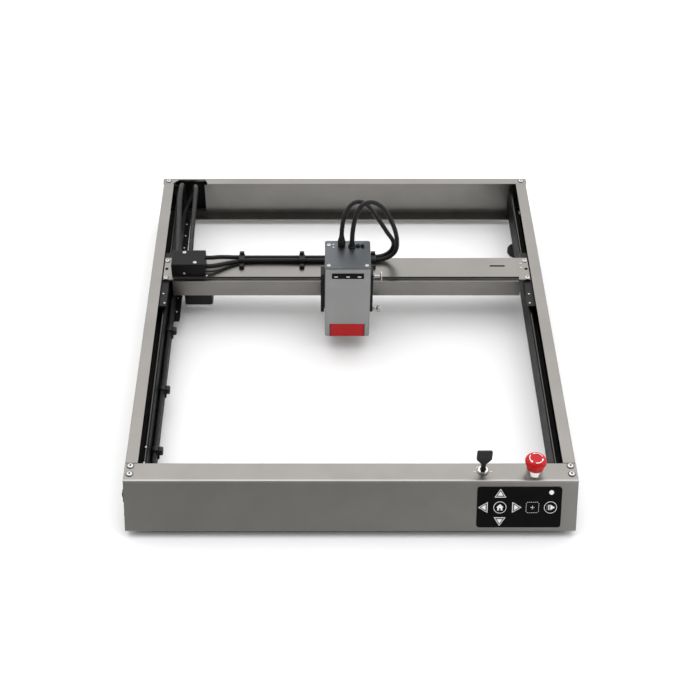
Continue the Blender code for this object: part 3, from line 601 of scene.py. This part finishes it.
def estop_set():
    x, y, _ = middle_of("estop_base")
    base = (x, y, 0)
    skirt = [(0.2, 15.2), (10.5, 15.2), (10.5, 10.3), (10.8, 10.0), (11.2, 10.3)]
    head = turned("estop_button", skirt + crown_profile(), base, UP, "red_plastic",
                  "stop_button", sides=96)
    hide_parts("estop_cap")
    collar = [(10.7, 0.1), (10.7, 1.3), (10.4, 2.0), (10.2, 2.4), (10.2, 8.6), (9.9, 9.3),
              (9.2, 9.62), (4.8, 9.62)]
    turned("estop_collar", collar, base, UP, "chrome_trim", "root", sides=64)
    arrows = []
    for start in (20, 140, 260):
        neck = start + 78
        band = arc(8.9, start, neck) + arc(8.0, neck, start)
        tip, wide = math.radians(start + 96), math.radians(neck)
        point = [(8.45 * math.cos(tip), 8.45 * math.sin(tip)),
                 (10.0 * math.cos(wide), 10.0 * math.sin(wide)),
                 (6.9 * math.cos(wide), 6.9 * math.sin(wide))]
        for outline in (band, point):
            arrows.append(slab_mesh("arrow", outline, 0.3))
    bm = bmesh.new()
    for mesh in arrows:
        bm.from_mesh(mesh)
        bpy.data.meshes.remove(mesh)
    bmesh.ops.triangulate(bm, faces=bm.faces)
    for v in bm.verts:
        v.co.z += (dome_height(v.co.xy.length / MM) + 0.05) * MM
    bmesh.ops.translate(bm, verts=bm.verts, vec=at(*base))
    finish_piece("estop_arrows", mesh_from("estop_arrows", bm), "white_print", "stop_button")


def crown_profile():
    """The stop button's outside, from its skirt up to its dished top."""
    return smooth_profile([(11.3, 11.0), (11.2, 15.2), (11.6, 16.4), (12.9, 17.6),
                           (13.65, 19.6), (13.6, 21.7), (12.6, 24.0), (9.8, 26.0),
                           (6.9, 26.9), (5.4, 26.6), (3.0, 26.4), (0.3, 26.4)], 5)


def dome_height(radius):
    """Height of the stop button's top at a distance from its axis."""
    above = [p for p in crown_profile() if p[1] > 23]
    for (r0, h0), (r1, h1) in zip(above, above[1:]):
        if r1 <= radius <= r0:
            return h1 + (h0 - h1) * (radius - r1) / max(r0 - r1, 1e-6)
    return above[-1][1]


def symbol(name, outlines, x, down, slot, body, lift=0.0):
    """A print on the panel, from (outline, holes) pairs in local millimetres."""
    turn = on_slope(x, down, PANEL_FACE + PRINT / 2 + lift)
    meshes = [(slab_mesh(name, o, PRINT, 0, holes), turn) for o, holes in outlines]
    return joined(name, meshes, slot, body)


def arrow_head(size, turn_deg):
    """A triangle that points up before it is turned."""
    points = [(-size * 1.08, -size * 0.72), (size * 1.08, -size * 0.72), (0, size)]
    a = math.radians(turn_deg)
    return [(u * math.cos(a) - v * math.sin(a), u * math.sin(a) + v * math.cos(a))
            for u, v in points]


ROW = 36.4              # the keys' middle row, down the slope
HOME_X, FRAME_X, START_X = 189.9, 231.2, 254.2


def panel_symbols():
    arrows = {"up": (190.0, 17.6, 0), "left": (169.2, ROW, 90),
              "right": (210.4, ROW, -90), "down": (190.0, 55.2, 180)}
    for way, (x, down, turn) in arrows.items():
        body = "key_%s_pad" % way
        symbol("print_%s_shade" % way, [(arrow_head(5.3, turn), [arrow_head(4.1, turn)])],
               x, down, "grey_print", body)
        symbol("print_%s" % way, [(arrow_head(6.9, turn), [arrow_head(5.7, turn)]),
                                  (arrow_head(3.4, turn), [])], x, down, "white_print", body)
    ring = [(circle(8.2), [circle(7.6)])]
    house = [(-4.6, 0.2), (-3.3, 0.2), (-3.3, -4.2), (-1.1, -4.2), (-1.1, -1.2), (1.1, -1.2),
             (1.1, -4.2), (3.3, -4.2), (3.3, 0.2), (4.6, 0.2), (0, 4.6)]
    symbol("print_home_ring", ring, HOME_X, ROW, "white_print", "root")
    symbol("print_home", [(house, [])], HOME_X, ROW, "white_print", "key_home_pad")
    symbol("print_start_ring", ring, START_X, ROW, "white_print", "root")
    play = [(-0.2, -3.9), (5.6, 0), (-0.2, 3.9)]
    symbol("print_start", [(play, []), (rounded_rectangle(1.3, 7.2, 0.4, (-2.0, 0)), [])],
           START_X, ROW, "white_print", "key_start_pad")
    symbol("print_pause_bar", [(rounded_rectangle(1.5, 7.2, 0.4, (-4.3, 0)), [])], START_X, ROW,
           "grey_print", "key_start_pad")
    dashes = []
    for k in range(6):
        u = -6.25 + 2.5 * k
        for v in (-7.2, 7.2):
            dashes.append((rounded_rectangle(1.5, 0.5, 0.2, (u, v)), []))
    for k in range(5):
        v = -5.0 + 2.5 * k
        for u in (-8.0, 8.0):
            dashes.append((rounded_rectangle(0.5, 1.5, 0.2, (u, v)), []))
    symbol("print_frame_dashes", dashes, FRAME_X, ROW, "white_print", "root")
    cross = [(rounded_rectangle(5.2, 0.6, 0.25), []),
             (rounded_rectangle(0.6, 2.0, 0.25, (0, 1.6)), []),
             (rounded_rectangle(0.6, 2.0, 0.25, (0, -1.6)), [])]
    symbol("print_frame_cross", cross, FRAME_X, ROW, "white_print", "key_frame_pad")
    lamp_turn = on_slope(254.6, 15.6, PANEL_FACE)
    bm = bmesh.new()
    dome = [(3.05, -0.1), (3.05, 0.25), (2.7, 0.6), (1.9, 0.85), (0.8, 0.95), (0.1, 0.96)]
    add_rings(bm, turned_rings(dome, lamp_turn, 36))
    finish_piece("status_lamp", closed_mesh("status_lamp", bm), "white_print", "root")


def front_edge():
    """The rounded fold along the console's top front edge, in a lighter grey than the top as a
    painted highlight.
    """
    profile = [(1.5, -0.1), (1.4, 0.3), (-0.2, 0.32), (-0.8, -0.2), (-1.1, -1.3),
               (-0.5, -1.4), (1.4, -0.4)]
    half = (RAIL_RIGHT[1].x - RAIL_LEFT[0].x) / MM / 2
    bm = bmesh.new()
    add_rings(bm, [[at(x, y, z) for y, z in profile] for x in (-half, half)])
    finish_piece("front_edge_fold", closed_mesh("front_edge_fold", bm), "fold_highlight", "root",
                 smooth_deg=70)


def rear_shade_sheet():
    """A black sheet inside the rear beam, behind the opening for the cables' turn: painted shade
    for the beam's shadowed inside.
    """
    outline = rounded_rectangle(60, 52, 2)
    turn = Matrix.Translation(at(-247, TOP_DEPTH - 2.0, -32)) @ facing((0, -1, 0))
    slab("rear_cable_shade_sheet", outline, 0.8, turn, "painted_shade_black", "root", 0.1)


def rear_end_caps():
    """Plastic caps that close the rear beam's open ends."""
    low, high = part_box("rear_beam")
    middle = ((TOP_DEPTH + 631.5) / 2, -(high.z - low.z) / MM / 2)
    for side, x, way in (("left", low.x, -1), ("right", high.x, 1)):
        turn = Matrix.Translation(at((x - ORIGIN.x) / MM + way * 0.2, *middle)) @ SIDEWAYS
        slab("rear_end_cap_" + side, rounded_rectangle(10.6, 63.6, 1.2), 1.6, turn,
             "black_plastic", "root", 0.4)


def side_fittings():
    """The mains rocker's bezel and the inlet's ring, on the left wall."""
    _, y, z = middle_of("power_rocker")
    wall = (RAIL_LEFT[0].x - ORIGIN.x) / MM
    out = facing((-1, 0, 0))
    turn = Matrix.Translation(at(wall - 0.6, y, z)) @ out @ Matrix.Rotation(QUARTER, 4, "Z")
    outline = rounded_rectangle(20.4, 15.4, 1.4)
    hole = rounded_rectangle(17.0, 12.4, 0.8)
    slab("rocker_bezel", outline, 1.3, turn, "black_plastic", "root", 0.35, [hole])
    inlet = Matrix.Translation(at(wall - 0.35, -8, -53)) @ out
    slab("inlet_ring", circle(7.6), 0.8, inlet, "plain_aluminium", "root", 0.25, [circle(5.9)])


# Gantry pieces

def x_motor_set():
    x, y, _ = middle_of("x_motor")
    bottom = (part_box("x_motor")[0].z - ORIGIN.z) / MM
    beam_low = (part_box("gantry_beam")[0].z - ORIGIN.z) / MM
    cap_height = 5.4

    def layer(name, start, end, side, corner, slot, edge):
        outline = rounded_rectangle(side, side, corner, steps=3)
        turn = Matrix.Translation(at(x, y, (start + end) / 2))
        return slab(name, outline, end - start, turn, slot, "gantry", edge)

    body = layer("x_motor_body", bottom + cap_height, beam_low - 0.5, 41.6, 4.2, "dark_metal",
                 0.3)
    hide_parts("x_motor")
    cap = layer("x_motor_cap", bottom, bottom + cap_height, 42.0, 5.0, "plain_aluminium", 1.3)
    cap.data.materials[0] = FINISHES["motor_cap"]
    for k in range(4):
        angle = math.radians(45 + 90 * k)
        place = (x + 22 * math.cos(angle), y + 22 * math.sin(angle), bottom)
        screws("x_motor_screw_%d" % k, [place], (0, 0, -1), 1.7, "gantry", height=0.5)
    block("x_motor_plug", (x - 8, y + 20.8, bottom + 7), (x + 8, y + 26, bottom + 14),
          "black_plastic", "gantry", 0.4, 0.8)


def cable_clips():
    """Three clips hold the lower run to the left channel, and three hold the gantry bundle."""
    for k, y in enumerate((85, 200, 321)):
        outline = rounded_rectangle(10.4, 19.2, 4.4, (-257.4, -41.0), 6)
        hole = rounded_rectangle(8.9, 16.8, 3.8, (-257.5, -41.0), 6)
        band = slab_mesh("clip", outline, 8.0, 0.4, [hole])
        nub = slab_mesh("clip", rounded_rectangle(6.6, 9.0, 2.0, (-250.4, -37.0)), 8.4, 0.6)
        turn = Matrix.Translation(at(0, y, 0)) @ UPRIGHT
        joined("rail_clip_%d" % (k + 1), [(band, turn), (nub, turn)], "black_plastic", "root")
    for k, x in enumerate((-155.7, -66.2, 39.7)):
        outline = rounded_rectangle(17.2, 9.4, 4.2, (437.9, 2.3), 6)
        hole = rounded_rectangle(15.2, 7.4, 3.4, (437.9, 2.3), 6)
        band = slab_mesh("clip", outline, 8.4, 0.4, [hole])
        lock = slab_mesh("clip", rounded_rectangle(5.0, 5.4, 1.2, (444.2, 7.6)), 6.6, 0.5)
        foot = slab_mesh("clip", rounded_rectangle(12.0, 2.4, 0.9, (425.0, -0.7)), 7.4, 0.4)
        stud = slab_mesh("clip", rounded_rectangle(5.2, 4.4, 1.6, (421.8, 1.2)), 5.6, 0.6)
        turn = Matrix.Translation(at(x, 0, 0)) @ SIDEWAYS
        joined("gantry_clip_%d" % (k + 1), [(m, turn) for m in (band, lock, foot, stud)],
               "black_plastic", "gantry")


# Laser module pieces

def module_details():
    body, top = "laser_module", MODULE_TOP
    screws("cover_screws", [(-26.4, 374.1, top), (-26.6, 328.6, top), (26.5, 328.6, top)], UP,
           2.9, body, height=0.9)
    screws("cover_pins", [(-20, 375, top), (-20, 369, top)], UP, 1.4, body, height=0.5)
    boot = [(4.6, -0.1), (5.2, 0.8), (5.7, 3.0), (5.5, 6.5), (4.7, 10.5), (3.9, 14.0),
            (3.5, 17.0), (3.35, 18.0)]
    turned("signal_boot", smooth_profile(boot, 3), (-8.6, 374.1, top), UP, "black_plastic",
           body)
    collar = [(5.4, -0.1), (5.6, 0.6), (5.4, 1.8), (4.5, 2.6), (4.0, 5.0), (3.7, 8.0),
              (3.45, 10.0)]
    turned("power_boot", smooth_profile(collar, 3), (6.2, 370.0, top), UP, "black_plastic",
           body)
    knob = [(2.6, -0.1), (2.9, 0.5), (2.9, 2.4), (2.4, 3.0), (1.9, 3.2), (0.2, 3.3)]
    for k, (x, y) in enumerate(((14.8, 371.8), (21.2, 371.8))):
        turned("cover_plug_%d" % (k + 1), knob, (x, y, top), UP, "black_plastic", body, 32)
    strip_turn = Matrix.Translation(at(0.1, MODULE_FRONT - 0.15, 66)) @ UPRIGHT
    slab("lamp_strip", rounded_rectangle(45.0, 9.6, 0.6), 0.5, strip_turn, "gloss_black", body,
         0.1)
    marks = []
    for x in (-16.6, 0.2, 16.4):
        turn = Matrix.Translation(at(x, MODULE_FRONT - 0.45, 64.9)) @ UPRIGHT
        marks.append((slab_mesh("mark", rounded_rectangle(5.0, 1.5, 0.5), PRINT), turn))
    joined("lamp_marks", marks, "white_print", body)
    low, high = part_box("laser_window")
    for side, x in (("left", low.x), ("right", high.x)):
        place = Vector((x, low.y + 0.0004, (low.z + high.z) / 2))
        tall = (high.z - low.z) / MM
        turn = Matrix.Translation(place) @ UPRIGHT
        slab("window_edge_" + side, rounded_rectangle(1.3, tall - 0.4, 0.4), 1.3, turn,
             "black_plastic", body, 0.2)


THREAD_TURNS = 9
THREAD_PITCH = 0.5


def knurl(angle):
    return 1.0 + 0.03 * math.cos(24 * angle)


def thumb_screws():
    """Each height screw gets a knurled head in place of its plain solid."""
    for name, radius, a, b in (("upper", 7.2, 15.0, 17.2), ("lower", 4.6, 11.4, 16.2)):
        _, y, z = middle_of("thumb_screw_" + name)
        start = (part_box("thumb_screw_" + name)[0].x - ORIGIN.x) / MM
        profile = [(1.9, 0.05)]
        for k in range(THREAD_TURNS):
            profile += [(1.95, 0.3 + THREAD_PITCH * k), (1.7, 0.55 + THREAD_PITCH * k)]
        profile += [(3.1, 5.2), (3.1, 6.3), (1.95, 6.9), (1.95, a - 0.7), (radius * 0.6, a - 0.4),
                    (radius * 0.97, a + 0.1), (radius, a + 0.4), (radius, b - 0.4),
                    (radius * 0.95, b), (radius * 0.5, b), (0.1, b - 0.2)]
        edge = len(profile) - 5

        def shape(angle, index, first=edge):
            return knurl(angle) if first <= index <= first + 1 else 1.0

        made = turned("height_knob_" + name, profile, (start, y, z), (1, 0, 0), "steel",
                      "height_screw_" + name, 96, shape)
        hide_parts("thumb_screw_" + name)


# Cables

def route_through(knots, spacing, per_span=0, want_knots=False):
    """Points about spacing apart on a Catmull-Rom curve through the knots, or per_span
    points from each knot to the next."""
    knots = [Vector(k) for k in knots]
    padded = [2 * knots[0] - knots[1], *knots, 2 * knots[-1] - knots[-2]]
    out, at_knot = [], []
    for p0, p1, p2, p3 in zip(padded, padded[1:], padded[2:], padded[3:]):
        pieces = per_span or max(2, round((p2 - p1).length / spacing))
        at_knot.append(len(out))
        for k in range(pieces):
            t = k / pieces
            out.append(0.5 * (2 * p1 + (p2 - p0) * t
                              + (2 * p0 - 5 * p1 + 4 * p2 - p3) * t * t
                              + (3 * p1 - p0 - 3 * p2 + p3) * t * t * t))
    at_knot.append(len(out))
    out.append(knots[-1])
    return (out, at_knot) if want_knots else out


def tube_frames(route):
    """A tangent and a side for each point of a route, turned as little as possible."""
    tangents = [(b - a).normalized() for a, b in zip([route[0], *route], [*route[1:], route[-1]])]
    tangents[0] = (route[1] - route[0]).normalized()
    side = tangents[0].orthogonal().normalized()
    sides = [side]
    for a, b in zip(tangents, tangents[1:]):
        side = a.rotation_difference(b) @ side
        side = (side - b * side.dot(b)).normalized()
        sides.append(side)
    return list(zip(tangents, sides))


def tube_piece(name, route, frames, first, last, diameter, sides=20):
    """The stretch of a cable between two of its route's points, with a sleeve map."""
    bm = bmesh.new()
    uv = bm.loops.layers.uv.new("sleeve")
    rings, run = [], []
    length = 0.0
    for i in range(first, last + 1):
        if i > first:
            length += (route[i] - route[i - 1]).length
        tangent, side = frames[i]
        other = tangent.cross(side)
        ring = []
        for k in range(sides):
            angle = 2 * math.pi * k / sides
            offset = (side * math.cos(angle) + other * math.sin(angle)) * diameter / 2
            ring.append(bm.verts.new(at(*(route[i] + offset))))
        rings.append(ring)
        run.append(length / diameter)
    for i, (a, b) in enumerate(zip(rings, rings[1:])):
        for k in range(sides):
            n = (k + 1) % sides
            face = bm.faces.new((a[k], a[n], b[n], b[k]))
            around = (k / sides * math.pi, (k + 1) / sides * math.pi)
            spots = ((around[0], run[i]), (around[1], run[i]), (around[1], run[i + 1]),
                     (around[0], run[i + 1]))
            for loop, spot in zip(face.loops, spots):
                loop[uv].uv = spot
    bm.faces.new(list(reversed(rings[0])))
    bm.faces.new(rings[-1])
    return finish_piece(name, closed_mesh(name, bm), "cable_sheath"), length


def cable(name, route, frames, first, last, diameter, stands_for=None, sides=20):
    """A stretch of a cable as a piece; the imported solid it stands for, if given, is hidden."""
    piece, length = tube_piece(name, route, frames, first, last, diameter, sides)
    if stands_for:
        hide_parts(stands_for)
    return piece


LOOP_Y = 610.0          # where the gantry's cables turn back over themselves
TURN_IN, TURN_OUT = 7, 11       # the knots where that turn starts and ends
LIFT, LOOP_TOP = 7, 15          # the knots where the head's cables leave the beam, and peak


def gantry_cables():
    """Each cable's lower run and its turn stay with the frame; its upper run, which reaches the
    gantry at the junction box, is baked in place and not attached to a body."""
    power = [(-258, 29.5, -45.4), (-258, 60, -45.4), (-258, 178, -45.4), (-258, 291, -45.4),
             (-258, 420, -45.4), (-258, 540, -45.4), (-258, 590, -45.4),
             (-258, LOOP_Y, -45.2), (-258.2, LOOP_Y + 17, -38.5),
             (-258.4, LOOP_Y + 24, -20.5), (-258.7, LOOP_Y + 17, -2.5),
             (-259, LOOP_Y, 4.8), (-258.6, 580, 5.4), (-254.5, 500, 6), (-251.4, 437.7, 6)]
    signal = [(-258, 29.5, -36.9), (-258, 60, -36.9), (-258, 178, -36.9), (-258, 291, -36.9),
              (-258, 420, -36.9), (-258, 540, -36.9), (-257, 590, -36.6),
              (-254.5, LOOP_Y - 1, -35.0), (-249, LOOP_Y + 13.5, -28.5),
              (-243, LOOP_Y + 19.5, -15.5), (-238, LOOP_Y + 13.5, -2.0),
              (-235.6, LOOP_Y - 2, 4.6), (-235, 580, 5.4), (-233.8, 500, 6),
              (-232.6, 437.7, 6)]
    for name, knots, diameter in (("y_power_cable", power, 8.0), ("y_signal_cable", signal, 7.0)):
        route, at_knot = route_through(knots, 7, want_knots=True)
        frames = tube_frames(route)
        turn_in, turn_out = at_knot[TURN_IN], at_knot[TURN_OUT]
        stretches = (("lower", 0, turn_in), ("turn", turn_in, turn_out),
                     ("upper", turn_out, len(route) - 1))
        for label, first, last in stretches:
            piece = cable("%s_%s" % (name, label), route, frames, first, last, diameter, name)
            if label == "upper":
                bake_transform(piece)
            else:
                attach(piece, "root")


def head_cables():
    """The bundle along the gantry, then each cable's rise and its fall to the module."""
    power = [(-208.0, 415, 7), (-200, 415, 7), (-186, 421.5, 4.5), (-165, 431, 2),
             (-140, 434.4, 1.8), (-60, 434.4, 1.8), (20, 434.4, 1.8), (44, 435, 2.2),
             (60, 436.6, 5), (70.7, 436, 15), (74.2, 433, 31), (71.6, 426, 58.7),
             (62.9, 417, 91), (50.3, 409, 119), (35, 401, 135.6), (20, 392, 136.6),
             (10.6, 383, 122), (7.0, 375.4, 103), (6.2, 371, 90), (6.2, 370, 80.4)]
    signal = [(-208.0, 431, 10), (-200, 431, 10), (-186, 436.4, 6.8), (-165, 440.6, 2.8),
              (-140, 441.4, 1.8), (-60, 441.4, 1.8), (20, 441.4, 1.8), (44, 441.6, 3),
              (58, 443, 6), (67.5, 442.2, 17), (69, 439, 34), (58.6, 431.5, 58),
              (45.2, 423, 88), (31.8, 415, 114.5), (21.5, 407, 131), (7.5, 398, 136),
              (-3, 388, 127), (-7.6, 380, 110), (-8.6, 375.5, 93), (-8.6, 374.2, 80.4)]
    for name, knots, diameter in (("head_power_cable", power, 6.6),
                                  ("head_signal_cable", signal, 6.4)):
        route, at_knot = route_through(knots, 4, want_knots=True)
        frames = tube_frames(route)
        lift, top, last = at_knot[LIFT], at_knot[LOOP_TOP], len(route) - 1
        bundle = cable(name + "_bundle", route, frames, 0, lift, diameter, name)
        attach(bundle, "gantry")
        for label, first, end, a, b in (("rise", lift, top, "gantry", "laser_carriage"),
                                        ("fall", top, last, "laser_carriage", "laser_module")):
            piece = cable("%s_%s" % (name, label), route, frames, first, end, diameter, name)
            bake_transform(piece)
    lead = [(-208.6, 406.5, 4), (-202, 406.9, 3.6), (-190, 412, 1.4), (-176, 421, -0.2),
            (-163, 427.4, -0.2), (-152, 428.6, -0.2)]
    route = route_through(lead, 3)
    thin = cable("limit_switch_lead", route, tube_frames(route), 0, len(route) - 1, 2.6,
                 sides=12)
    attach(thin, "gantry")


make_camera()
make_light()
make_floor()
gantry_cables()
head_cables()
dress_cad_nodes()
frame_screws()
gantry_screws()
key_set()
estop_set()
panel_symbols()
front_edge()
rear_shade_sheet()
rear_end_caps()
side_fittings()
x_motor_set()
cable_clips()
module_details()
thumb_screws()
